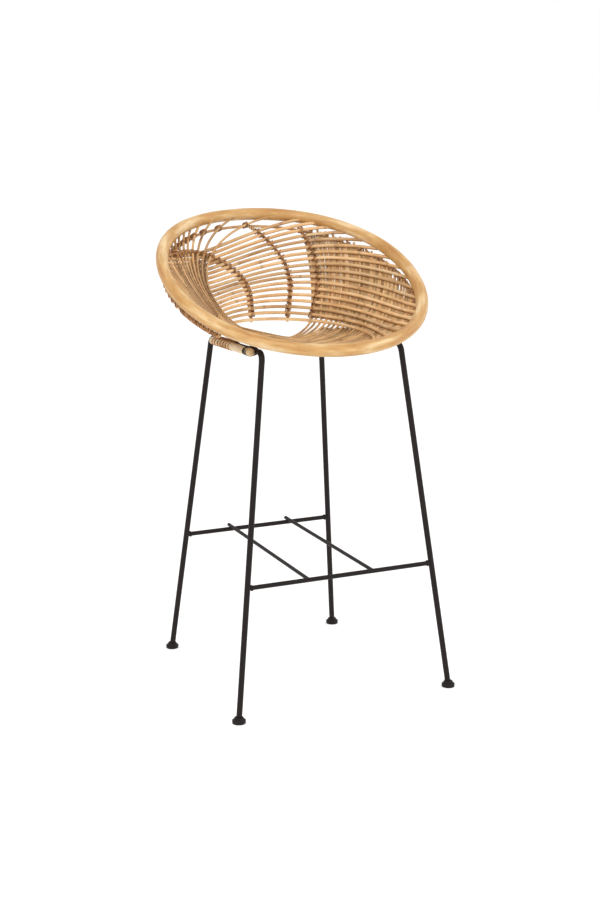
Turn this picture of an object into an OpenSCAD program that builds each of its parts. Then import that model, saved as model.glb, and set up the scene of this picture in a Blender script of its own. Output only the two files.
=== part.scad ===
// Bar stool: a woven rattan bowl seat on two bent steel side frames with a footrest.
// Origin on the floor, below the middle of the whole stool. Front faces -Y, +Z is up.

/* [Steel frame] */
// Diameter of the bent side rods
leg_d = 12; // [10:0.5:14]
// Half distance between the front feet
front_foot_x = 241; // [225:1:255]
// Half distance between the rear feet
rear_foot_x = 201; // [185:1:215]
// Half distance between the front feet and the rear feet
foot_y = 238; // [225:1:250]
// Height of the bend at the top of a front leg
front_bend_z = 732; // [728:1:734]
// Height of the bend at the top of a rear leg
rear_bend_z = 714; // [708:1:716]
// Bend radius on the rod's centre line
bend_r = 18; // [14:1:24]

/* [Footrest] */
// Height of the front and rear rails
rail_z = 270; // [220:5:320]
// Diameter of the rails
rail_d = 9.5; // [8:0.5:11]
// Diameter of the two crossbars
crossbar_d = 7.8; // [6:0.2:9]
// Half distance between the crossbars
crossbar_x = 72; // [50:1:90]

/* [Feet] */
// Diameter of the foot glides
foot_d = 28; // [24:1:34]
// Height of the soft pad under a foot
pad_h = 4; // [3:0.5:6]
// Height of the steel cap over the pad
cap_h = 9; // [7:0.5:11]

/* [Rim] */
// Radius of the rim's centre line
rim_r = 276.4; // [270:0.2:282]
// Diameter of the rim pole
rim_d = 26; // [22:0.5:28]
// Height of the rim's centre
rim_z = 853; // [848:1:858]
// Distance of the rim's centre behind the middle of the feet
rim_y = 19; // [15:1:23]
// Slope of the rim, high at the back
rim_tilt = 24.4; // [23:0.1:26]

/* [Bowl] */
// Half width of the seat ring
seat_rx = 145; // [138:1:150]
// Half depth of the seat ring
seat_ry = 214; // [208:1:218]
// Height of the seat ring
seat_z = 737; // [736:0.5:740]
// Number of back hoops above the seat ring
hoop_count = 17; // [12:1:18]
// Rise from one hoop to the next
hoop_pitch = 11.1; // [10:0.1:11.4]
// Diameter of the hoops
hoop_d = 6.6; // [5:0.2:7]
// Saddle shape that each hoop adds to the one below
hoop_saddle = 2.1; // [1:0.1:2.4]
// Number of rods across the seat
seat_rod_count = 27; // [22:1:27]
// Diameter of the seat rods
seat_rod_d = 3.8; // [3.4:0.1:3.8]
// Diameter of the lashed back ribs
rib_d = 6; // [5:0.2:7]
// Diameter of the poles under the seat
pole_d = 16; // [14:0.5:17]

/* [Hidden] */
$fn = 48;
seat_y = 5.5;
wall_curve = 1.1;
front_foot = [front_foot_x, -foot_y, pad_h + 1];
rear_foot = [rear_foot_x, foot_y, pad_h + 1];
front_lean = [-0.1196, 0.0990, 1];
rear_lean = [-0.1002, -0.1143, 1];
front_corner = front_foot + front_lean * (front_bend_z - pad_h);
rear_corner = rear_foot + rear_lean * (rear_bend_z - pad_h);
// The walls stop where their rods touch the underside of the rim
wall_inset = 11.5;
wall_drop = 12.6;
fit_gap = 0.1;
// The rod swells a little where it is bent, and the straight rods run into the bends
bend_swell = 0.3;
socket_gap = 1.5;
bend_overlap = 1;
// The band hangs below the rim's centre line and a little inside it, behind the tops of the ribs
band_inset = 8;
band_drop = 30;
band_from = -35;
band_to = 215;
rod_sides = 5;
hoop_sides = 6;
groups = 4;

HOOPS = [for (i = [1:hoop_count]) str("back_hoop_", i < 10 ? "0" : "", i)];
GROUPS = ["rear", "mid_rear", "mid_front", "front"];
SIDES = ["left", "right"];
ENDS = ["front", "rear"];

function unit(v) = v / norm(v);
function side_sign(side) = side == "left" ? -1 : 1;

// ---- bowl wall: angle t runs from +X over the back, height h from the seat ring to the rim
function rim_point(t, r, drop) =
    [r * cos(t),
     rim_y + r * cos(rim_tilt) * sin(t) + drop * sin(rim_tilt),
     rim_z + r * sin(rim_tilt) * sin(t) - drop * cos(rim_tilt)];
function wall_top(t) = rim_point(t, rim_r - wall_inset, wall_drop);
function wall_base(t) = [seat_rx * cos(t), seat_y + seat_ry * sin(t), seat_z];
function bowl_point(t, h) =
    let (a = wall_base(t), b = wall_top(t), f = pow(max(h, 0), wall_curve))
    [a.x + (b.x - a.x) * f, a.y + (b.y - a.y) * f, a.z + (b.z - a.z) * h];
function outward(t, h) =
    let (along = bowl_point(t + 1, h) - bowl_point(t - 1, h),
         up = bowl_point(t, h + 0.06) - bowl_point(t, max(h - 0.06, 0)))
    unit(cross(along, up));
function wall(t, h, out = 0) = bowl_point(t, h) + outward(t, h) * out;

// ---- back hoops: level at first, sprung into a slight saddle higher up
function saddle_turn(i) = max(40, 72 - 3.8 * i);
function hoop_z(i, t) = seat_z + hoop_pitch * i + hoop_saddle * i * cos(2 * (t - saddle_turn(i)));
function hoop_h(i, t) = (hoop_z(i, t) - seat_z) / (wall_top(t).z - seat_z);
// A hoop ends where it reaches the rim on either side of the back
function hoop_end(i, t, step) =
    abs(t - 90) > 176 || hoop_h(i, t + step) > 0.97 ? t : hoop_end(i, t + step, step);

// ---- ribs: angle of each lashed rib at height h
function rib_turn(which, h) =
    which == "left" ? 92.5 + 97 * pow(max(h - 0.2, 0), 2)
    : which == "centre" ? 63 + 53 * pow(max(h - 0.25, 0), 2)
    : 45 + 32 * pow(max(h - 0.2, 0), 2);

// ---- seat rods: down the inside of the left wall, across the seat in a forward bow,
// under the seat ring and up the outside of the right wall
rear_turn = [119, 45];
front_turn = [240, -60];
rear_bow_y = 3;
front_bow_y = -204;
bow_x = -18;
// The bows stand wider apart at the rear, where the rods slant most
bow_spread = 0.25;
rod_gap = 0.5;
rod_out = (hoop_d + seat_rod_d) / 2 + rod_gap;
ring_inset = 2.2 * rod_out;
// The rear rods on the left flare outwards as they leave the seat, before they lean to the back
left_flare = 17;
wall_heights = [0.93, 0.8, 0.6, 0.4, 0.22, 0.07];
seat_shares = [-0.98, -0.8, -0.55, -0.3, 0, 0.3, 0.58, 0.83, 0.95];
function side_out(side) = side_sign(side) * rod_out;
function rod_share(j) = j / (seat_rod_count - 1);
function bow_share(share) = share * (1 + bow_spread * (1 - share));
function left_turn(share, h) =
    rear_turn[0] + (front_turn[0] - rear_turn[0]) * share
    + left_flare * pow(1 - share, 2) * (1 - exp(-7 * h))
    - (45 + 60 * exp(-15 * share)) * pow(max(h - 0.3, 0), 2);
function right_turn(share, h) =
    rear_turn[1] + (front_turn[1] - rear_turn[1]) * share
    + (18 + 22 * share * share) * pow(h, 1.3 + share);
function rod_turn(j, side, h) =
    side == "left" ? left_turn(rod_share(j), h) : right_turn(rod_share(j), h);
function rod_wall(j, side) =
    [for (h = wall_heights) wall(rod_turn(j, side, h), h, side_out(side))];
function flat(v) = unit([v.x, v.y, 0]);
function rod_seat(j) =
    let (share = rod_share(j),
         right_t = rod_turn(j, "right", 0),
         left_t = rod_turn(j, "left", 0),
         right = wall_base(right_t),
         left = wall_base(left_t) - flat(outward(left_t, 0)) * ring_inset,
         mid_y = rear_bow_y + (front_bow_y - rear_bow_y) * bow_share(share),
         mid_x = bow_x * (1 - share),
         bow = 1.25 + 0.6 * share,
         low = right + unit(outward(right_t, 0) + [0, 0, -1]) * rod_out)
    concat(
        [for (s = seat_shares)
            let (end = s < 0 ? left : right, w = abs(s))
            [mid_x + (end.x - mid_x) * w, mid_y + (end.y - mid_y) * pow(w, bow),
             seat_z - rod_out - 1.5 * (1 - w)]],
        [low]
    );
function reversed(list) = [for (i = [len(list) - 1:-1:0]) list[i]];
function seat_rod_path(j) = concat(rod_wall(j, "left"), rod_seat(j), reversed(rod_wall(j, "right")));

// ---- stakes stand on the walls between two seat rods, shorter on the left and towards the front
stakes_end = 0.6;
function stake_base(side) = side == "left" ? 0.22 : 0.06;
function stake_top(share, side) = side == "left" ? 0.74 : 0.92 - 0.5 * max(share - 0.45, 0);
function stakes_between(share, side) = side == "right" && share < 0.3 ? 2 : 1;
function stake_path(j, side, k) =
    let (part = k / (stakes_between(rod_share(j), side) + 1),
         base = stake_base(side),
         top = stake_top(rod_share(j), side))
    [for (h = [base:(top - base) / 4:top + 0.001])
        let (t = rod_turn(j, side, h) * (1 - part) + rod_turn(j + 1, side, h) * part)
        wall(t, h, side_out(side))];

// ---- general shapes
module between(a, b) {
    d = b - a;
    translate(a)
        rotate([0, acos(d.z / norm(d)), atan2(d.y, d.x)])
            children();
}

module rod(a, b, d) {
    between(a, b)
        cylinder(h = norm(b - a), d = d);
}

// A tube of given diameter swept along a list of points
module swept_rod(points, d, sides) {
    n = len(points);
    tangents = [for (i = [0:n - 1]) unit(points[min(i + 1, n - 1)] - points[max(i - 1, 0)])];
    ups = [for (t = tangents) unit(cross(t, abs(t.z) > 0.8 ? [1, 0, 0] : [0, 0, 1]))];
    rings = carried_rings(points, tangents, d, sides, 0, ups[0]);
    faces = concat(
        [[for (k = [sides - 1:-1:0]) k]],
        [for (i = [0:n - 2], k = [0:sides - 1])
            let (a = i * sides + k, b = i * sides + (k + 1) % sides)
            [a, b, b + sides]],
        [for (i = [0:n - 2], k = [0:sides - 1])
            let (a = i * sides + k, b = i * sides + (k + 1) % sides)
            [a, b + sides, a + sides]],
        [[for (k = [0:sides - 1]) (n - 1) * sides + k]]
    );
    polyhedron(rings, [for (f = faces) reversed(f)], convexity = 8);
}

// Carries one side direction along the rod, so that the rings don't twist
function carried_rings(points, tangents, d, sides, i, side_dir) =
    i >= len(points) ? []
    : let (t = tangents[i],
           u = unit(side_dir - t * (side_dir * t)),
           v = cross(t, u),
           ring = [for (k = [0:sides - 1])
               points[i] + (u * cos(360 * k / sides) + v * sin(360 * k / sides)) * d / 2])
      concat(ring, carried_rings(points, tangents, d, sides, i + 1, u));

// A round bend at corner b between the straight lines to a and c
module bend(a, b, c, r, d) {
    u = unit(a - b);
    v = unit(c - b);
    turn = acos(u * v);
    reach = r / tan(turn / 2);
    middle = b + unit(u + v) * (r / sin(turn / 2));
    x = unit(b + u * reach - middle);
    z = unit(cross(x, b + v * reach - middle));
    y = cross(z, x);
    multmatrix([[x.x, y.x, z.x, middle.x], [x.y, y.y, z.y, middle.y], [x.z, y.z, z.z, middle.z]])
        rotate_extrude(angle = 180 - turn)
            translate([r, 0])
                circle(d = d);
}

function bend_reach(a, b, c, r) =
    r / tan(acos(unit(a - b) * unit(c - b)) / 2);

// ---- steel frame, drawn for the right side
module side_frame() {
    front_cut = bend_reach(front_foot, front_corner, rear_corner, bend_r);
    rear_cut = bend_reach(front_corner, rear_corner, rear_foot, bend_r);
    along = unit(rear_corner - front_corner);
    front_end = front_cut - bend_overlap;
    rear_end = rear_cut - bend_overlap;
    color("#2e2829") {
        rod(front_foot, front_corner - unit(front_lean) * front_end, leg_d);
        rod(rear_foot, rear_corner - unit(rear_lean) * rear_end, leg_d);
        rod(front_corner + along * front_end, rear_corner - along * rear_end, leg_d);
        bend(front_foot, front_corner, rear_corner, bend_r, leg_d + bend_swell);
        bend(front_corner, rear_corner, rear_foot, bend_r, leg_d + bend_swell);
    }
}

function mirrored(p) = [-p.x, p.y, p.z];

module rail(foot, lean) {
    end = foot + lean * (rail_z - foot.z);
    high = end + lean * 30;
    low = end - lean * 30;
    color("#2e2829")
        difference() {
            rod(mirrored(end), end, rail_d);
            rod(low, high, leg_d + fit_gap);
            rod(mirrored(low), mirrored(high), leg_d + fit_gap);
        }
}

// The front end butts against the front rail and the rear end lies on the rear rail
module crossbar(side) {
    front_end = front_foot + front_lean * (rail_z - front_foot.z);
    rear_end = rear_foot + rear_lean * (rail_z - rear_foot.z);
    front_at = [side_sign(side) * (crossbar_x + 1), front_end.y, rail_z];
    rear_at = [side_sign(side) * (crossbar_x - 2), rear_end.y + 6, rail_z + (rail_d + crossbar_d) / 2 + fit_gap];
    color("#2e2829")
        difference() {
            rod(front_at, rear_at, crossbar_d);
            rod(front_at - [60, 0, 0], front_at + [60, 0, 0], rail_d + 2 * fit_gap);
        }
}

module at_foot(end, side) {
    foot = end == "front" ? front_foot : rear_foot;
    translate([side_sign(side) * foot.x, foot.y, 0])
        children();
}

module foot_pad(end, side) {
    color("#1d1a1a")
        at_foot(end, side)
            rotate_extrude()
                polygon([[0, 0], [foot_d / 2 - 1.2, 0], [foot_d / 2 - 0.4, 0.8], [foot_d / 2 - 0.4, pad_h], [0, pad_h]]);
}

// A flanged steel cap with an upright socket that the leaning leg stands in
module foot_cap(end, side) {
    foot = end == "front" ? front_foot : rear_foot;
    lean = end == "front" ? front_lean : rear_lean;
    middle = lean * cap_h / 2;
    color("#262122")
        difference() {
            at_foot(end, side)
                translate([0, 0, pad_h])
                    rotate_extrude()
                        polygon([[0, 0], [foot_d / 2, 0], [foot_d / 2, 2.6], [foot_d / 2 - 1.4, 4],
                            [10.5, 5], [9.4, cap_h - 0.8], [8.6, cap_h], [0, cap_h]]);
            translate([side_sign(side) * (foot.x + middle.x), foot.y + middle.y, 0])
                cylinder(h = 2 * (pad_h + cap_h), d = leg_d + socket_gap);
        }
}

// ---- rattan
module rim_hoop() {
    color("#d9a765")
        translate([0, rim_y, rim_z])
            rotate([rim_tilt, 0, 0])
                rotate_extrude($fn = 96)
                    translate([rim_r, 0])
                        circle(d = rim_d);
}

// An open hoop that follows the rim on its underside, with its ends towards the front
module rim_band() {
    color("#c9995f")
        translate([0, rim_y + band_drop * sin(rim_tilt), rim_z - band_drop * cos(rim_tilt)])
            rotate([rim_tilt, 0, 0])
                rotate([0, 0, band_from])
                    rotate_extrude(angle = band_to - band_from, $fn = 96)
                        translate([rim_r - band_inset, 0])
                            circle(d = rib_d);
}

module seat_ring() {
    turn_step = 10;
    path = [for (t = [0:turn_step:360 - turn_step]) wall_base(t)];
    n = len(path);
    ring = [for (i = [0:n - 1])
        let (way = unit(path[(i + 1) % n] - path[(i + n - 1) % n]), side = cross(way, [0, 0, 1]))
        for (k = [0:hoop_sides - 1])
            path[i] + (side * cos(60 * k) + [0, 0, 1] * sin(60 * k)) * hoop_d / 2];
    faces = [for (i = [0:n - 1], k = [0:hoop_sides - 1])
        let (a = i * hoop_sides + k, b = i * hoop_sides + (k + 1) % hoop_sides,
             c = ((i + 1) % n) * hoop_sides + k, d = ((i + 1) % n) * hoop_sides + (k + 1) % hoop_sides)
        each [[a, b, d], [a, d, c]]];
    color("#c49560")
        polyhedron(ring, faces, convexity = 8);
}

module back_hoop(i) {
    from = hoop_end(i, 90, -2);
    to = hoop_end(i, 90, 2);
    count = ceil((to - from) / 11);
    path = [for (k = [0:count])
        let (t = from + (to - from) * k / count)
        wall(t, hoop_h(i, t))];
    color("#d0a26a")
        swept_rod(path, hoop_d, hoop_sides);
}

module back_rib(which) {
    top = 0.93;
    path = [for (h = [-0.02:0.095:top]) wall(rib_turn(which, h), h, (hoop_d + rib_d) / 2 + fit_gap)];
    color("#b98a55")
        swept_rod(path, rib_d, hoop_sides);
}

module seat_rods(group) {
    from = floor(group * seat_rod_count / groups);
    to = floor((group + 1) * seat_rod_count / groups) - 1;
    color("#cb9d66")
        for (j = [from:to])
            swept_rod(seat_rod_path(j), seat_rod_d, rod_sides);
}

module wall_stakes(side) {
    color("#c29560")
        for (j = [0:seat_rod_count - 2])
            if (rod_share(j) < stakes_end)
                for (k = [1:stakes_between(rod_share(j), side)])
                    swept_rod(stake_path(j, side, k), seat_rod_d, rod_sides);
}

// ---- poles lashed along the outer side of the top rods, drawn for the right side
pole_front_y = -138;
pole_rear_y = 104;
function top_rod_at(y) =
    front_corner + (rear_corner - front_corner) * (y - front_corner.y) / (rear_corner.y - front_corner.y);
pole_shift = [(leg_d + pole_d) / 2 + fit_gap, 0, 0];

module seat_pole() {
    color("#e0bd8a")
        rod(top_rod_at(pole_front_y) + pole_shift, top_rod_at(pole_rear_y) + pole_shift, pole_d);
}

module lashing_section(extra) {
    circle(d = leg_d + extra);
    translate([pole_shift.x, 0])
        circle(d = pole_d + extra);
    polygon([[0, -(leg_d + extra) / 2], [pole_shift.x, -(pole_d + extra) / 2],
        [pole_shift.x, (pole_d + extra) / 2], [0, (leg_d + extra) / 2]]);
}

module pole_lashing(y) {
    at = top_rod_at(y);
    slope = unit(rear_corner - front_corner);
    turns = 4;
    turn_w = 2.4;
    for (k = [0:turns - 1])
        translate(at + slope * k * (turn_w + 0.3))
            rotate([90 + atan2(slope.z, slope.y), 0, -atan2(slope.x, slope.y)])
                translate([0, 0, -turn_w])
                    linear_extrude(turn_w)
                        difference() {
                            lashing_section(2.6);
                            lashing_section(2 * fit_gap);
                        }
}

module pole_lashings() {
    color("#7a5230") {
        pole_lashing(-118);
        pole_lashing(-16);
        pole_lashing(80);
    }
}

module on_side(side) {
    if (side == "left")
        mirror([1, 0, 0]) children();
    else
        children();
}

// Every piece is drawn about the middle of the feet and then moved to the origin
rear_reach = rim_y + rim_r * cos(rim_tilt) + rim_d / 2;
front_reach = -foot_y - foot_d / 2;
middle_y = (rear_reach + front_reach) / 2;

module placed() {
    translate([0, -middle_y, 0])
        children();
}

for (s = SIDES) {
    placed() on_side(s) side_frame();
    placed() crossbar(s);
    placed() on_side(s) seat_pole();
    placed() on_side(s) pole_lashings();
    placed() wall_stakes(s);
}
placed() rail(front_foot, front_lean);  // front_rail
placed() rail(rear_foot, rear_lean);  // rear_rail
for (e = ENDS, s = SIDES) {
    placed() foot_cap(e, s);
    placed() foot_pad(e, s);
}
placed() rim_hoop();
placed() rim_band();
placed() seat_ring();
for (i = [1:hoop_count])
    placed() back_hoop(i);
for (r = ["left", "centre", "right"])
    placed() back_rib(r);
for (g = [0:groups - 1])
    placed() seat_rods(g);
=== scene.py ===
"""Looks of the rattan bar stool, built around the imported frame. All sizes are in metres."""

import math
import random

import bpy
import numpy as np
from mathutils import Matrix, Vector


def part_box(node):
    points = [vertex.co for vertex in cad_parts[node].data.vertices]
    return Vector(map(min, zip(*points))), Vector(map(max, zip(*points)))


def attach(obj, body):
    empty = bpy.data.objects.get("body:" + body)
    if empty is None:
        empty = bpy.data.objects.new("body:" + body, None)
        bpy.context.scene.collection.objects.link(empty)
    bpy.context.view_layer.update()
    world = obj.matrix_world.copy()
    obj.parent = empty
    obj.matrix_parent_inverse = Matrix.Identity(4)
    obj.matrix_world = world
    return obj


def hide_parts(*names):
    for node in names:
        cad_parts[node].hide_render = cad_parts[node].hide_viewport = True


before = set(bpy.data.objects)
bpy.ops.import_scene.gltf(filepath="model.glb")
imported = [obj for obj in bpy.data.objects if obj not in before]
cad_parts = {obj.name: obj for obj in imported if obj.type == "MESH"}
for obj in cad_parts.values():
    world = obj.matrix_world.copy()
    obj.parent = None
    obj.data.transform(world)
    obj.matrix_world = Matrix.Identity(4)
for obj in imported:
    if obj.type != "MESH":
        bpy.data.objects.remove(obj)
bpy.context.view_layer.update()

# ---- driving sizes: the design's, but with thicker hoops and rods and an oval, slightly twisted rim pole
LEG_R = 0.006
RIM_R = 0.2764
RIM_TUBE_R = 0.013
RIM_Z = 0.853
RIM_Y = 0.019
RIM_TILT = math.radians(24.4)
RIM_POLE_TILT = math.radians(24.15)
RIM_POLE_HALF_X = 0.274
RIM_POLE_HALF_Y = 0.2811
RIM_POLE_MID_Y = 0.0221
RIM_POLE_MID_Z = 0.8529
RIM_POLE_DIP = 0.0019
RIM_POLE_TWIST = 0.004
SEAT_RX = 0.145
SEAT_RY = 0.214
SEAT_Y = 0.0055
SEAT_Z = 0.737
HOOP_COUNT = 17
HOOP_PITCH = 0.0111
HOOP_SADDLE = 0.0021
HOOP_R = 0.0036
HOOP_LIMIT = 1.05
SADDLE_TURN = 72
SADDLE_TURN_STEP = 3.8
SADDLE_TURN_LEAST = 40
ROD_COUNT = 27
ROD_R = 0.0026
RIB_R = 0.003
RIB_OUT = HOOP_R + RIB_R + 0.0001
POLE_R = 0.008
POLE_OUT = LEG_R + POLE_R + 0.0001
POLE_FRONT_Y = -0.138
POLE_REAR_Y = 0.104
WALL_CURVE = 1.1
WALL_INSET = 0.0115
WALL_DROP = 0.0126
BAND_INSET = 0.008
BAND_DROP = 0.030
BAND_FROM = -35
BAND_TO = 215

# The design is drawn about the middle of the feet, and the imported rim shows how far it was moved
rim_low, rim_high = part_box("rim_hoop")
SHIFT = np.array([0, (rim_low.y + rim_high.y) / 2 - RIM_Y, 0])


def degrees_sin(angle):
    return math.sin(math.radians(angle))


def degrees_cos(angle):
    return math.cos(math.radians(angle))


def unit(v):
    return v / np.linalg.norm(v)


# ---- bowl wall: angle t runs from +X over the back, height h from the seat ring to the rim
def wall_top(t):
    r = RIM_R - WALL_INSET
    slope = math.sin(RIM_TILT)
    level = math.cos(RIM_TILT)
    return np.array([
        r * degrees_cos(t),
        RIM_Y + r * level * degrees_sin(t) + WALL_DROP * slope,
        RIM_Z + r * slope * degrees_sin(t) - WALL_DROP * level,
    ])


def wall_base(t):
    return np.array([SEAT_RX * degrees_cos(t), SEAT_Y + SEAT_RY * degrees_sin(t), SEAT_Z])


def bowl_point(t, h):
    base, top = wall_base(t), wall_top(t)
    share = max(h, 0) ** WALL_CURVE
    point = base + (top - base) * share
    point[2] = base[2] + (top[2] - base[2]) * h
    return point


def outward(t, h):
    along = bowl_point(t + 1, h) - bowl_point(t - 1, h)
    up = bowl_point(t, h + 0.06) - bowl_point(t, max(h - 0.06, 0))
    return unit(np.cross(along, up))


def wall(t, h, out=0.0):
    return bowl_point(t, h) + outward(t, h) * out


def hoop_height(i, t):
    turn = max(SADDLE_TURN_LEAST, SADDLE_TURN - SADDLE_TURN_STEP * i)
    rise = HOOP_PITCH * i + HOOP_SADDLE * i * degrees_cos(2 * (t - turn))
    return rise / (wall_top(t)[2] - SEAT_Z)


def hoop_end(i, step, limit):
    t = 90
    while abs(t - 90) <= 176 and hoop_height(i, t + step) <= limit:
        t += step
    return t


def rib_turn(which, h):
    if which == "left":
        return 92.5 + 97 * max(h - 0.2, 0) ** 2
    if which == "centre":
        return 63 + 53 * max(h - 0.25, 0) ** 2
    return 45 + 32 * max(h - 0.2, 0) ** 2


# ---- seat rods: down the inside of the left wall, across the seat in a forward bow,
# under the seat ring and up the outside of the right wall
REAR_TURN = {"left": 119, "right": 45}
FRONT_TURN = {"left": 240, "right": -60}
REAR_BOW_Y = 0.003
FRONT_BOW_Y = -0.204
BOW_X = -0.018
BOW_SPREAD = 0.25
LEFT_FLARE = 17
ROD_OUT = HOOP_R + ROD_R + 0.0002
RING_INSET = 2.2 * ROD_OUT
SIDE_OUT = {"left": -ROD_OUT, "right": ROD_OUT}


def rod_share(j):
    return j / (ROD_COUNT - 1)


def rod_turn(j, side, h):
    share = rod_share(j)
    turn = REAR_TURN[side] + (FRONT_TURN[side] - REAR_TURN[side]) * share
    if side == "left":
        turn += LEFT_FLARE * (1 - share) ** 2 * (1 - math.exp(-7 * h))
        return turn - (45 + 60 * math.exp(-15 * share)) * max(h - 0.3, 0) ** 2
    return turn + (18 + 22 * share ** 2) * h ** (1.3 + share)


def rod_across_seat(j, count=44):
    share = rod_share(j)
    right_t, left_t = rod_turn(j, "right", 0), rod_turn(j, "left", 0)
    right, left = wall_base(right_t), wall_base(left_t)
    away = outward(left_t, 0) * np.array([1, 1, 0])
    left = left - unit(away) * RING_INSET
    mid_y = REAR_BOW_Y + (FRONT_BOW_Y - REAR_BOW_Y) * share * (1 + BOW_SPREAD * (1 - share))
    mid_x = BOW_X * (1 - share)
    points = []
    for s in np.linspace(-0.98, 0.95, count):
        end = left if s < 0 else right
        w = abs(s)
        points.append([
            mid_x + (end[0] - mid_x) * w,
            mid_y + (end[1] - mid_y) * w ** (1.25 + 0.6 * share),
            SEAT_Z - ROD_OUT - 0.0015 * (1 - w),
        ])
    points.append(right + unit(outward(right_t, 0) + np.array([0, 0, -1])) * ROD_OUT)
    return points


# ---- meshes of swept rods
class Rods:
    """Rods swept in one mesh. Each point keeps its place along and round its rod, for the grain."""

    def __init__(self, name, material, slot, seed):
        self.name = name
        self.material = material
        self.slot = slot
        self.random = random.Random(seed)
        self.verts = []
        self.faces = []
        self.rod = []
        self.tone = []
        self.knot = []

    def add(self, path, radius, sides=10, step=0.005, closed=False, knot_gap=0.0, wander=0.0, tone=None):
        points = even_points(np.array(path, float), step, closed)
        length = step * len(points)
        tone = self.random.random() if tone is None else tone
        if wander:
            points = points + self.drift(points, wander, closed)
        along = np.arange(len(points)) * length / len(points)
        ring_knot = np.zeros(len(points))
        for place in self.knot_places(length, knot_gap):
            ring_knot = np.maximum(ring_knot, np.exp(-(((along - place) / (step * 0.8)) ** 2)))
        ring_r = radius * (1 + 0.07 * ring_knot) * (1 + 0.03 * np.sin(along * 19 + tone * 40))
        self.sweep(points, ring_r, ring_knot, along, tone, sides, closed)

    def drift(self, points, size, closed):
        count = len(points)
        angle = np.linspace(0, 2 * math.pi, count, endpoint=not closed)
        shift = np.zeros((count, 3))
        for wave in (1, 2, 3, 5):
            for axis in range(3):
                phase = self.random.uniform(0, 2 * math.pi)
                shift[:, axis] += size / wave * np.sin(wave * angle + phase)
        return shift

    def knot_places(self, length, gap):
        places = []
        place = self.random.uniform(0, gap)
        while gap and place < length:
            places.append(place)
            place += gap * self.random.uniform(0.7, 1.3)
        return places

    def sweep(self, points, ring_r, ring_knot, along, tone, sides, closed):
        if closed:
            tangents = np.roll(points, -1, 0) - np.roll(points, 1, 0)
        else:
            tangents = np.gradient(points, axis=0)
        tangents /= np.linalg.norm(tangents, axis=1)[:, None]
        if not closed:
            rings = round_ends(points, ring_r, ring_knot, along, tangents)
            points, ring_r, ring_knot, along, tangents = rings
        count = len(points)
        side = np.array([1.0, 0, 0]) if abs(tangents[0][2]) > 0.95 else np.array([0, 0, 1.0])
        first = len(self.verts)
        angles = np.arange(sides) * 2 * math.pi / sides
        offset = self.random.uniform(0, 10)
        for k in range(count):
            t = tangents[k]
            side = unit(side - t * (side @ t))
            across = np.cross(t, side)
            for angle in angles:
                c, s = math.cos(angle), math.sin(angle)
                spot = points[k] + (side * c + across * s) * ring_r[k]
                self.verts.append(spot + SHIFT)
                self.rod.append((along[k] + offset, c * ring_r[k], s * ring_r[k]))
                self.tone.append(tone)
                self.knot.append(ring_knot[k])
        spans = count if closed else count - 1
        for k in range(spans):
            a = first + k * sides
            b = first + (k + 1) % count * sides
            for m in range(sides):
                n = (m + 1) % sides
                self.faces.append((a + m, a + n, b + n, b + m))
        if not closed:
            self.faces.append(tuple(first + m for m in reversed(range(sides))))
            self.faces.append(tuple(first + (count - 1) * sides + m for m in range(sides)))

    def build(self, *replaced):
        mesh = bpy.data.meshes.new(self.name)
        mesh.from_pydata([tuple(v) for v in self.verts], [], self.faces)
        rod = mesh.attributes.new("rod", "FLOAT_VECTOR", "POINT")
        rod.data.foreach_set("vector", np.array(self.rod, np.float32).ravel())
        for name, values in (("tone", self.tone), ("knot", self.knot)):
            attribute = mesh.attributes.new(name, "FLOAT", "POINT")
            attribute.data.foreach_set("value", np.array(values, np.float32))
        mesh.polygons.foreach_set("use_smooth", [True] * len(mesh.polygons))
        mesh.materials.append(self.material)
        piece = bpy.data.objects.new(self.name, mesh)
        bpy.context.scene.collection.objects.link(piece)
        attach(piece, "root")
        if replaced:
            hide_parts(*replaced)
        return piece


def even_points(points, step, closed):
    """The same line with points a near-equal step apart."""
    if closed:
        points = np.vstack([points, points[:1]])
    lengths = np.linalg.norm(np.diff(points, axis=0), axis=1)
    place = np.concatenate([[0], np.cumsum(lengths)])
    count = max(int(round(place[-1] / step)), 3)
    wanted = np.linspace(0, place[-1], count + 1)
    if closed:
        wanted = wanted[:-1]
    return np.stack([np.interp(wanted, place, points[:, axis]) for axis in range(3)], 1)


def round_ends(points, ring_r, ring_knot, along, tangents):
    """Adds shrinking rings at both ends, so that a cut end is softly rounded."""
    cap = ring_r[0] * 0.5
    start = [points[0] - tangents[0] * cap, points[0] - tangents[0] * cap * 0.7]
    end = [points[-1] + tangents[-1] * cap * 0.7, points[-1] + tangents[-1] * cap]
    points = np.vstack([start, points, end])
    taper = np.array([0.45, 0.8])
    ring_r = np.concatenate([ring_r[0] * taper, ring_r, ring_r[-1] * taper[::-1]])
    ring_knot = np.concatenate([[0, 0], ring_knot, [0, 0]])
    along = np.concatenate([[along[0]] * 2, along, [along[-1]] * 2])
    tangents = np.vstack([tangents[:1], tangents[:1], tangents, tangents[-1:], tangents[-1:]])
    return points, ring_r, ring_knot, along, tangents


# ---- materials
def new_material(name):
    material = bpy.data.materials.new(name)
    material.use_nodes = True
    nodes = material.node_tree.nodes
    shader = next(n for n in nodes if n.type == "BSDF_PRINCIPLED")
    return material, nodes, material.node_tree.links, shader


def ramp(nodes, links, value, stops):
    node = nodes.new("ShaderNodeValToRGB")
    node.color_ramp.elements[0].position = stops[0][0]
    node.color_ramp.elements[0].color = (*stops[0][1], 1)
    node.color_ramp.elements[1].position = stops[-1][0]
    node.color_ramp.elements[1].color = (*stops[-1][1], 1)
    for place, colour in stops[1:-1]:
        node.color_ramp.elements.new(place).color = (*colour, 1)
    links.new(value, node.inputs["Fac"])
    return node.outputs["Color"]


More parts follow.
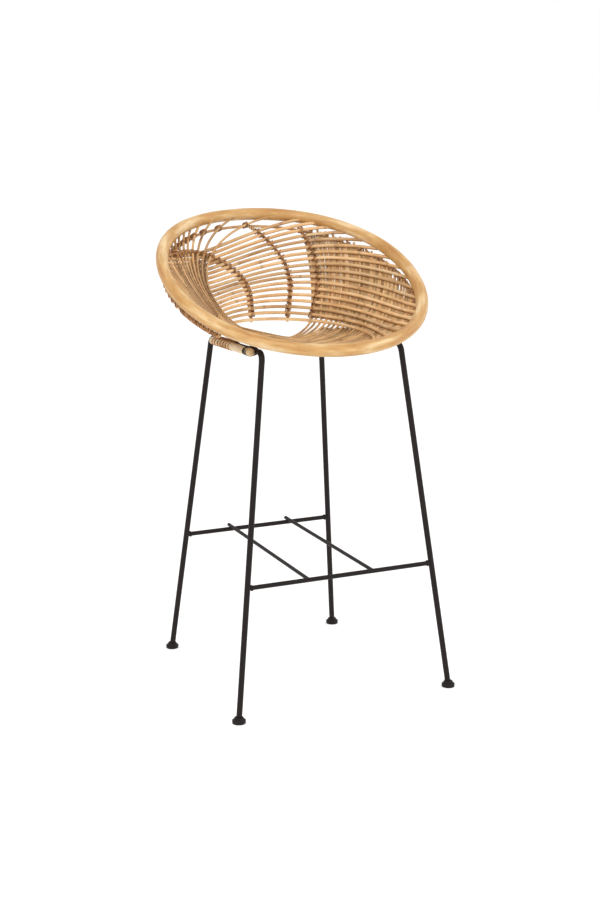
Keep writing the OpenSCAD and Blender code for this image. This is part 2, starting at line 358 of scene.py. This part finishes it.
def noise(nodes, links, vector, scale, size=1.0, detail=2.0):
    stretch = nodes.new("ShaderNodeMapping")
    stretch.inputs["Scale"].default_value = scale
    links.new(vector, stretch.inputs["Vector"])
    node = nodes.new("ShaderNodeTexNoise")
    node.inputs["Scale"].default_value = size
    node.inputs["Detail"].default_value = detail
    links.new(stretch.outputs["Vector"], node.inputs["Vector"])
    return node.outputs["Fac"]


def mix(nodes, links, mode, share, a, b):
    node = nodes.new("ShaderNodeMix")
    node.data_type = "RGBA"
    node.blend_type = mode
    for value, socket in ((share, node.inputs["Factor"]), (a, node.inputs[6]), (b, node.inputs[7])):
        if hasattr(value, "links"):
            links.new(value, socket)
        elif isinstance(value, tuple):
            socket.default_value = (*value, 1)
        else:
            socket.default_value = value
    return node.outputs[2]


def attribute(nodes, name, output):
    node = nodes.new("ShaderNodeAttribute")
    node.attribute_name = name
    return node.outputs[output]


def uneven_gloss(nodes, links, shader, value, low, high):
    gloss = nodes.new("ShaderNodeMapRange")
    gloss.inputs["To Min"].default_value = low
    gloss.inputs["To Max"].default_value = high
    links.new(value, gloss.inputs["Value"])
    links.new(gloss.outputs["Result"], shader.inputs["Roughness"])


def raised(nodes, links, shader, height, strength, distance):
    bump = nodes.new("ShaderNodeBump")
    bump.inputs["Strength"].default_value = strength
    bump.inputs["Distance"].default_value = distance
    links.new(height, bump.inputs["Height"])
    links.new(bump.outputs["Normal"], shader.inputs["Normal"])


def rattan(name, pale, warm, deep, grain, roughness, tone_spread, blotch=3.0):
    """Peeled rattan: fine fibres along the rod, slow colour changes, dark rings at the growth knots."""
    material, nodes, links, shader = new_material(name)
    where = attribute(nodes, "rod", "Vector")
    tone = attribute(nodes, "tone", "Fac")
    knot = attribute(nodes, "knot", "Fac")
    fibre = noise(nodes, links, where, (55, 2600, 2600), 1.0, 4.0)
    patch = noise(nodes, links, where, (blotch * 4, 60, 60), 1.0, 3.0)
    colour = ramp(nodes, links, patch, ((0.34, pale), (0.5, warm), (0.72, deep)))
    darkest, palest = (1 - tone_spread,) * 3, (1 + tone_spread * 0.35,) * 3
    shade = ramp(nodes, links, tone, ((0.0, darkest), (1.0, palest)))
    colour = mix(nodes, links, "MULTIPLY", 1.0, colour, shade)
    streak = ramp(nodes, links, fibre, ((0.3, (1 - grain,) * 3), (0.62, (1.0, 1.0, 1.0))))
    colour = mix(nodes, links, "MULTIPLY", 1.0, colour, streak)
    ring = nodes.new("ShaderNodeMath")
    ring.operation = "MULTIPLY"
    ring.inputs[1].default_value = 0.6
    links.new(knot, ring.inputs[0])
    colour = mix(nodes, links, "MIX", ring.outputs[0], colour, tuple(c * 0.42 for c in deep))
    links.new(colour, shader.inputs["Base Color"])
    uneven_gloss(nodes, links, shader, fibre, roughness - 0.07, roughness + 0.12)
    raised(nodes, links, shader, fibre, 0.35, 0.0004)
    shader.inputs["Specular IOR Level"].default_value = 0.35
    shader.inputs["Coat Weight"].default_value = 0.08
    shader.inputs["Coat Roughness"].default_value = 0.35
    return material


def painted_steel(name, colour, roughness):
    """Dark powder coat with a fine orange-peel texture and slightly rubbed patches."""
    material, nodes, links, shader = new_material(name)
    place = nodes.new("ShaderNodeTexCoord").outputs["Object"]
    peel = noise(nodes, links, place, (1, 1, 1), 1400, 2.0)
    rubbed = noise(nodes, links, place, (1, 1, 0.4), 38, 4.0)
    light = tuple(c * 1.9 for c in colour)
    stops = ((0.42, colour), (0.62, tuple(c * 1.25 for c in colour)), (0.78, light))
    tint = ramp(nodes, links, rubbed, stops)
    links.new(tint, shader.inputs["Base Color"])
    uneven_gloss(nodes, links, shader, rubbed, roughness - 0.08, roughness + 0.12)
    raised(nodes, links, shader, peel, 0.25, 0.0003)
    shader.inputs["Specular IOR Level"].default_value = 0.2
    return material


RIM_SKIN = rattan(
    "rim_skin",
    pale=(0.80, 0.57, 0.31),
    warm=(0.62, 0.36, 0.13),
    deep=(0.47, 0.21, 0.055),
    grain=0.38,
    roughness=0.42,
    tone_spread=0.0,
    blotch=2.6,
)
ROD_SKIN = rattan(
    "rod_skin",
    pale=(0.86, 0.60, 0.33),
    warm=(0.76, 0.47, 0.22),
    deep=(0.52, 0.27, 0.10),
    grain=0.36,
    roughness=0.5,
    tone_spread=0.22,
)
SEAT_SKIN = rattan(
    "seat_skin",
    pale=(0.78, 0.49, 0.24),
    warm=(0.64, 0.37, 0.155),
    deep=(0.40, 0.19, 0.065),
    grain=0.4,
    roughness=0.5,
    tone_spread=0.4,
)
STAKE_SKIN = rattan(
    "stake_skin",
    pale=(0.90, 0.62, 0.34),
    warm=(0.78, 0.49, 0.23),
    deep=(0.46, 0.24, 0.09),
    grain=0.45,
    roughness=0.55,
    tone_spread=0.35,
)
# Skin of the left stakes and the cane wound round them: its deep brown is painted shade, standing for the
# shadow between the left wall's rods and hoops.
TWIST_SHADE_SKIN = rattan(
    "twist_painted_shade_skin",
    pale=(0.52, 0.29, 0.12),
    warm=(0.30, 0.145, 0.055),
    deep=(0.11, 0.05, 0.02),
    grain=0.4,
    roughness=0.55,
    tone_spread=0.35,
    blotch=18,
)
POLE_SKIN = rattan(
    "pole_skin",
    pale=(0.80, 0.62, 0.38),
    warm=(0.70, 0.50, 0.27),
    deep=(0.56, 0.35, 0.16),
    grain=0.25,
    roughness=0.45,
    tone_spread=0.1,
)
CANE_SKIN = rattan(
    "cane_skin",
    pale=(0.66, 0.35, 0.14),
    warm=(0.44, 0.20, 0.07),
    deep=(0.14, 0.06, 0.025),
    grain=0.4,
    roughness=0.5,
    tone_spread=0.4,
    blotch=16,
)
DARK_SKIN = rattan(
    "dark_cane_skin",
    pale=(0.06, 0.035, 0.02),
    warm=(0.03, 0.02, 0.014),
    deep=(0.015, 0.01, 0.008),
    grain=0.4,
    roughness=0.5,
    tone_spread=0.4,
)
STEEL = painted_steel("dark_steel", (0.008, 0.0045, 0.004), 0.5)
PAD = painted_steel("dark_pad", (0.010, 0.008, 0.008), 0.6)


# ---- rim
def rim_line(turns=720):
    """The bent pole is a little oval and not quite flat, as a hand-bent pole is."""
    slope, level = math.sin(RIM_POLE_TILT), math.cos(RIM_POLE_TILT)
    points = []
    for k in range(turns):
        a = 2 * math.pi * k / turns
        lift = RIM_POLE_DIP * math.cos(2 * a) + RIM_POLE_TWIST * math.sin(3 * a)
        y = RIM_POLE_HALF_Y * math.sin(a)
        points.append([
            RIM_POLE_HALF_X * math.cos(a),
            RIM_POLE_MID_Y + y * level - lift * slope,
            RIM_POLE_MID_Z + y * slope + lift * level,
        ])
    return points


def rim():
    rods = Rods("rim_pole", RIM_SKIN, "rim_rattan", 3)
    rods.add(rim_line(), RIM_TUBE_R, sides=32, step=0.004, closed=True, tone=0.5)
    rods.build("rim_hoop")


# ---- seat ring and back hoops
def seat_ring():
    rods = Rods("seat_ring_rod", ROD_SKIN, "rattan_rod", 5)
    path = [wall_base(t) for t in range(0, 360, 3)]
    rods.add(path, HOOP_R, sides=12, step=0.004, closed=True, knot_gap=0.25, tone=0.6)
    rods.build("seat_ring")


def hoops():
    for i in range(1, HOOP_COUNT + 1):
        rods = Rods(f"hoop_{i:02d}", ROD_SKIN, "rattan_rod", 100 + i)
        start, end = hoop_end(i, -1, HOOP_LIMIT), hoop_end(i, 1, HOOP_LIMIT)
        path = [wall(t, hoop_height(i, t)) for t in np.linspace(start, end, 160)]
        rods.add(path, HOOP_R, sides=12, step=0.004, knot_gap=0.27, wander=0.0004)
        rods.build(f"back_hoop_{i:02d}")


def ribs():
    for number, which in enumerate(("left", "centre", "right")):
        rods = Rods(f"rib_{which}", ROD_SKIN, "rattan_rod", 200 + number)
        heights = np.linspace(-0.02, 0.97, 60)
        path = [wall(rib_turn(which, h), h, RIB_OUT) for h in heights]
        rods.add(path, RIB_R, sides=12, step=0.004, knot_gap=0.2, tone=0.35)
        rods.build(f"back_rib_{which}")


def rod_on_wall(j, side, heights):
    """The left rods bend out over the last stretch, to meet the rim's underside."""
    points = []
    for h in heights:
        out = SIDE_OUT[side]
        if side == "left":
            out += 0.008 * max((h - 0.8) / 0.2, 0) ** 1.3
        points.append(wall(rod_turn(j, side, h), h, out))
    return points


def seat_rods():
    first = 0
    for number, group in enumerate(("rear", "mid_rear", "mid_front", "front")):
        last = ROD_COUNT * (number + 1) // 4
        rods = Rods(f"seat_rods_{group}_set", SEAT_SKIN, "rattan_rod", 300 + number)
        for j in range(first, last):
            left = rod_on_wall(j, "left", np.linspace(1.06, 0.07, 30))
            right = rod_on_wall(j, "right", np.linspace(0.07, 0.99, 30))
            rods.add(smooth(left + rod_across_seat(j) + right), ROD_R, sides=8, step=0.006,
                     knot_gap=0.3, wander=0.0003)
        rods.build(f"seat_rods_{group}")
        first = last


def smooth(points, passes=2):
    points = np.array(points, float)
    for _ in range(passes):
        points[1:-1] = (points[:-2] + 2 * points[1:-1] + points[2:]) / 4
    return points


def stake_top(side, share):
    """The right stakes end lower towards the front."""
    return 0.74 if side == "left" else 0.92 - 0.5 * max(share - 0.45, 0)


def stakes():
    ends = {"left": 0.6, "right": 0.95}
    skins = {"left": TWIST_SHADE_SKIN, "right": STAKE_SKIN}
    base = {"left": 0.16, "right": 0.05}
    for side in ("left", "right"):
        rods = Rods(f"stakes_{side}", skins[side], "rattan_rod", 400 + len(side))
        for j in range(ROD_COUNT - 1):
            share = rod_share(j)
            if share >= ends[side]:
                break
            top = stake_top(side, share)
            between = 2 if side == "right" and share < 0.6 else 1
            for k in range(1, between + 1):
                part = k / (between + 1)
                path = []
                for h in np.linspace(base[side], top + rods.random.uniform(-0.02, 0.03), 30):
                    turn = rod_turn(j, side, h) * (1 - part) + rod_turn(j + 1, side, h) * part
                    path.append(wall(turn, h, SIDE_OUT[side]))
                if side == "left":
                    # The left stakes take a fixed low tone: more painted shade for the shadow between the
                    # left wall's rods.
                    rods.add(path, ROD_R * 0.7, sides=8, step=0.006, wander=0.0003, tone=0.1)
                    wound_strands(rods, path, ROD_R * 0.75, 0.009, 0.0012)
                else:
                    rods.add(path, ROD_R, sides=8, step=0.006, knot_gap=0.3, wander=0.0004)
        rods.build(f"wall_stakes_{side}")


# ---- band: an open hoop that follows the rim on its underside
def rim_point(t, r, drop):
    slope, level = math.sin(RIM_TILT), math.cos(RIM_TILT)
    return np.array([
        r * degrees_cos(t),
        RIM_Y + r * level * degrees_sin(t) + drop * slope,
        RIM_Z + r * slope * degrees_sin(t) - drop * level,
    ])


def band_point(t):
    return rim_point(t, RIM_R - BAND_INSET, BAND_DROP)


def rim_band():
    rods = Rods("rim_band_rod", ROD_SKIN, "rattan_rod", 31)
    path = [band_point(t) for t in np.linspace(BAND_FROM, BAND_TO, 250)]
    rods.add(path, RIB_R, sides=12, step=0.004, knot_gap=0.25, tone=0.4, wander=0.0005)
    rods.build("rim_band")


# ---- cane lashings
CANE_R = 0.0015
THICK_CANE_R = 0.0016
POLE_CANE_R = 0.0014
CANE_STEP = 0.0014
RIB_CANE_LEAN = 0.0052
ROD_CANE_LEAN = 0.0055
BAND_CANE_LEAN = 0.005
LASHED_BELOW = 0.97


def lashing_loop(rods, centre, across, through, slant, r):
    """One turn of cane round a crossing: across and through are its half sizes, slant leans it."""
    path = []
    for k in range(24):
        a = 2 * math.pi * k / 24
        path.append(centre - through * math.cos(a) + across * math.sin(a) + slant * math.sin(a))
    rods.add(path, r, sides=6, step=CANE_STEP, closed=True)


def wound_strands(rods, path, radius, pitch, r, strands=2):
    """Cane wound round a rod in steep turns that follow it."""
    points = even_points(np.array(path, float), CANE_STEP, False)
    tangents = np.gradient(points, axis=0)
    for strand in range(strands):
        turned = []
        for k, point in enumerate(points):
            t = unit(tangents[k])
            side = unit(np.cross(t, [0.3, 0.2, 1.0]))
            a = 2 * math.pi * (k * CANE_STEP / pitch + strand / strands)
            turned.append(point + (side * math.cos(a) + np.cross(t, side) * math.sin(a)) * radius)
        rods.add(turned, r, sides=6, step=CANE_STEP)


def rib_lashings():
    for number, which in enumerate(("left", "centre", "right")):
        rods = Rods(f"rib_lashings_{which}", CANE_SKIN, "cane_lashing", 500 + number)
        for i in range(1, HOOP_COUNT + 1):
            t, h = crossing(i, which)
            if h > LASHED_BELOW:
                continue
            out = outward(t, h)
            along = unit(bowl_point(t + 1, h) - bowl_point(t - 1, h))
            up = np.cross(out, along)
            centre = wall(t, h, RIB_R)
            for slant in (RIB_CANE_LEAN, -RIB_CANE_LEAN):
                lean = slant * rods.random.uniform(0.75, 1.2)
                across = up * (HOOP_R + 0.0019)
                through = out * (HOOP_R + RIB_R + 0.0009)
                lashing_loop(rods, centre, across, through, along * lean, CANE_R)
        rib = [wall(rib_turn(which, h), h, RIB_OUT) for h in np.linspace(0, 0.95, 50)]
        wound_strands(rods, rib, RIB_R + 0.0004, 0.011, 0.0010)
        if which == "left":
            rod_lashings(rods)
        rods.build()


def rod_lashings(rods):
    """The left rib runs on behind the leaning seat rods, and is bound to each of them."""
    for j in range(9):
        heights = np.linspace(0.55, 0.95, 81)
        h = min(heights, key=lambda v: abs(rib_turn("left", v) - rod_turn(j, "left", v)))
        t = rod_turn(j, "left", h)
        out = outward(t, h)
        along = unit(bowl_point(t + 1, h) - bowl_point(t - 1, h))
        up = np.cross(out, along)
        for slant in (ROD_CANE_LEAN, -ROD_CANE_LEAN, 0.001):
            lashing_loop(rods, wall(t, h), along * 0.0042, out * 0.0105, up * slant, THICK_CANE_R)


def band_crossing(j, side):
    """The height at which a seat rod passes closest to the band."""
    best = (1.0, 0.9)
    for h in np.linspace(0.75, 0.99, 49):
        point = rod_on_wall(j, side, [h])[0]
        for t in np.linspace(rod_turn(j, side, h) - 6, rod_turn(j, side, h) + 6, 9):
            gap = np.linalg.norm(point - band_point(t))
            if gap < best[0]:
                best = (gap, h)
    return best[1]


def band_lashings():
    for side in ("left", "right"):
        rods = Rods(f"band_lashings_{side}", CANE_SKIN, "cane_lashing", 520 + len(side))
        for j in range(ROD_COUNT):
            h = band_crossing(j, side)
            turn = rod_turn(j, side, h)
            if not BAND_FROM < turn < BAND_TO:
                continue
            rod_at = rod_on_wall(j, side, [h])[0]
            near = [band_point(t) for t in np.linspace(turn - 8, turn + 8, 33)]
            band_at = min(near, key=lambda p: np.linalg.norm(p - rod_at))
            through = unit(band_at - rod_at) * (np.linalg.norm(band_at - rod_at) / 2 + 0.0038)
            centre = (rod_at + band_at) / 2
            along = unit(band_point(turn + 1) - band_point(turn - 1))
            up = np.cross(unit(through), along)
            for slant in (BAND_CANE_LEAN, -BAND_CANE_LEAN, 0.001):
                lean = slant * rods.random.uniform(0.7, 1.2)
                lashing_loop(rods, centre, along * 0.0034, through, up * lean, THICK_CANE_R)
        rods.build()
    rods = Rods("band_braid", CANE_SKIN, "cane_lashing", 530)
    path = [band_point(t) for t in np.linspace(192, BAND_TO - 1, 30)]
    wound_strands(rods, path, RIB_R + 0.0009, 0.02, THICK_CANE_R, strands=3)
    rods.build()


def pole_bindings():
    """Cane round each pole and its top rod: a dark knot in front and a loose braid at the rear."""
    for side, sign in (("left", -1), ("right", 1)):
        mirror = np.array([sign, 1, 1])
        braid = Rods(f"pole_braid_{side}", CANE_SKIN, "cane_lashing", 540 + sign)
        knot = Rods(f"pole_knot_{side}", DARK_SKIN, "cane_lashing", 550 + sign)
        turns = [(knot, y) for y in np.linspace(-0.124, -0.114, 4)]
        turns += [(braid, y) for y in np.linspace(-0.015, 0.082, 12)]
        for number, (rods, y) in enumerate(turns):
            centre = (frame_line(y) + np.array([POLE_R, 0, 0])) * mirror
            lean = 0.004 * (-1) ** number * rods.random.uniform(0.6, 1.2)
            across = np.array([LEG_R + POLE_R + 0.001, 0, 0])
            through = np.array([0, 0, POLE_R + 0.001])
            lashing_loop(rods, centre, across, through, np.array([0, lean, 0]), POLE_CANE_R)
        braid.build(f"pole_lashings_{side}")
        knot.build()


def crossing(i, which):
    """Where a hoop crosses a rib: the height is averaged with the hoop's until the two agree."""
    h = 0.5
    for _ in range(40):
        h = 0.5 * h + 0.5 * hoop_height(i, rib_turn(which, h))
    return rib_turn(which, h), h


# ---- poles along the top rods, bound on with cane
FOOT_Z = 0.005
FRONT_BEND_Z = 0.733
REAR_BEND_Z = 0.715
FRONT_FOOT = np.array([0.241, -0.238])
REAR_FOOT = np.array([0.201, 0.238])
FRONT_LEAN = np.array([-0.1196, 0.0990])
REAR_LEAN = np.array([-0.1002, -0.1143])


def leg_bend(foot, lean, bend_z):
    """Where a leaning leg's centre line meets its top rod."""
    return np.array([*(foot + lean * (bend_z - FOOT_Z)), bend_z])


def frame_line(y):
    """The centre line of the right top rod."""
    front = leg_bend(FRONT_FOOT, FRONT_LEAN, FRONT_BEND_Z)
    rear = leg_bend(REAR_FOOT, REAR_LEAN, REAR_BEND_Z)
    return front + (rear - front) * (y - front[1]) / (rear[1] - front[1])


def poles():
    for side, sign in (("left", -1), ("right", 1)):
        mirror = np.array([sign, 1, 1])
        shift = np.array([POLE_OUT, 0, 0])
        rods = Rods(f"pole_{side}", POLE_SKIN, "pale_rattan", 600 + sign)
        path = [(frame_line(y) + shift) * mirror for y in np.linspace(POLE_FRONT_Y, POLE_REAR_Y, 30)]
        rods.add(path, POLE_R, sides=20, step=0.004, knot_gap=0.16, tone=0.8, wander=0.0004)
        rods.build(f"seat_pole_{side}")


def steel():
    for name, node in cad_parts.items():
        if name.startswith(("side_frame", "front_rail", "rear_rail", "crossbar", "foot_cap")):
            dress(node, STEEL)
        if name.startswith("foot_pad"):
            dress(node, PAD)


def weld_beads():
    """A small uneven bead where each rail meets a leg."""
    rods = Rods("weld_beads", STEEL, "steel", 700)
    for rail in ("front_rail", "rear_rail"):
        low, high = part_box(rail)
        mid_y, mid_z = (low.y + high.y) / 2, (low.z + high.z) / 2
        radius = (high.z - low.z) / 2
        for x in (low.x + 0.0072, high.x - 0.0072):
            ring = []
            for k in range(36):
                a = 2 * math.pi * k / 36
                wide = radius * rods.random.uniform(0.98, 1.08)
                saddle = (1 if x < 0 else -1) * 0.002 * math.sin(a) ** 2
                place = np.array([x - saddle, mid_y + wide * math.cos(a), mid_z + wide * math.sin(a)])
                ring.append(place - SHIFT)
            rods.add(ring, 0.0017, sides=8, step=0.0015, closed=True)
    rods.build()


def dress(node, material):
    node.data.materials.clear()
    node.data.materials.append(material)


# ---- studio
LIT_Z = 0.7


def studio():
    mesh = bpy.data.meshes.new("floor")
    reach = 30
    corners = [(-reach, -reach, 0), (reach, -reach, 0), (reach, reach, 0), (-reach, reach, 0)]
    mesh.from_pydata(corners, [], [(0, 1, 2, 3)])
    floor = bpy.data.objects.new("floor", mesh)
    bpy.context.scene.collection.objects.link(floor)
    material, _, _, shader = new_material("floor_paper")
    shader.inputs["Base Color"].default_value = (0.95, 0.95, 0.95, 1)
    shader.inputs["Roughness"].default_value = 0.9
    shader.inputs["Emission Color"].default_value = (1, 1, 1, 1)
    shader.inputs["Emission Strength"].default_value = 0.12
    mesh.materials.append(material)
    world = bpy.data.worlds.new("studio")
    bpy.context.scene.world = world
    world.use_nodes = True
    back = world.node_tree.nodes["Background"]
    back.inputs["Color"].default_value = (1, 1, 1, 1)
    back.inputs["Strength"].default_value = 1.0
    panel("key", (-1.6, -2.4, 3.2), 2.2, 60)
    panel("fill", (2.6, -1.6, 2.2), 2.4, 20)


def panel(name, place, size, power):
    light = bpy.data.lights.new(name, "AREA")
    light.size = size
    light.energy = power
    holder = bpy.data.objects.new(name, light)
    holder.location = place
    heading = Vector((0, 0, LIT_Z)) - Vector(place)
    holder.rotation_euler = heading.to_track_quat("-Z", "Y").to_euler()
    bpy.context.scene.collection.objects.link(holder)


LENS_MM = 68.0
SENSOR_MM = 36
EYE_PLACE = np.array([-1.48995, -3.18181, 1.30135])
EYE_HEADING = Vector((0.41449, 0.88167, -0.22554))


def camera():
    """Seen from the front left and a little above."""
    lens = bpy.data.cameras.new("camera")
    lens.lens = LENS_MM
    lens.sensor_width = SENSOR_MM
    eye = bpy.data.objects.new("camera", lens)
    eye.location = EYE_PLACE + SHIFT
    eye.rotation_euler = EYE_HEADING.to_track_quat("-Z", "Y").to_euler()
    bpy.context.scene.collection.objects.link(eye)
    bpy.context.scene.camera = eye


camera()
studio()
steel()
rim()
seat_ring()
hoops()
rim_band()
ribs()
band_lashings()
seat_rods()
stakes()
rib_lashings()
poles()
pole_bindings()
weld_beads()
bpy.context.scene.view_settings.view_transform = "Standard"

bpy.context.view_layer.update()
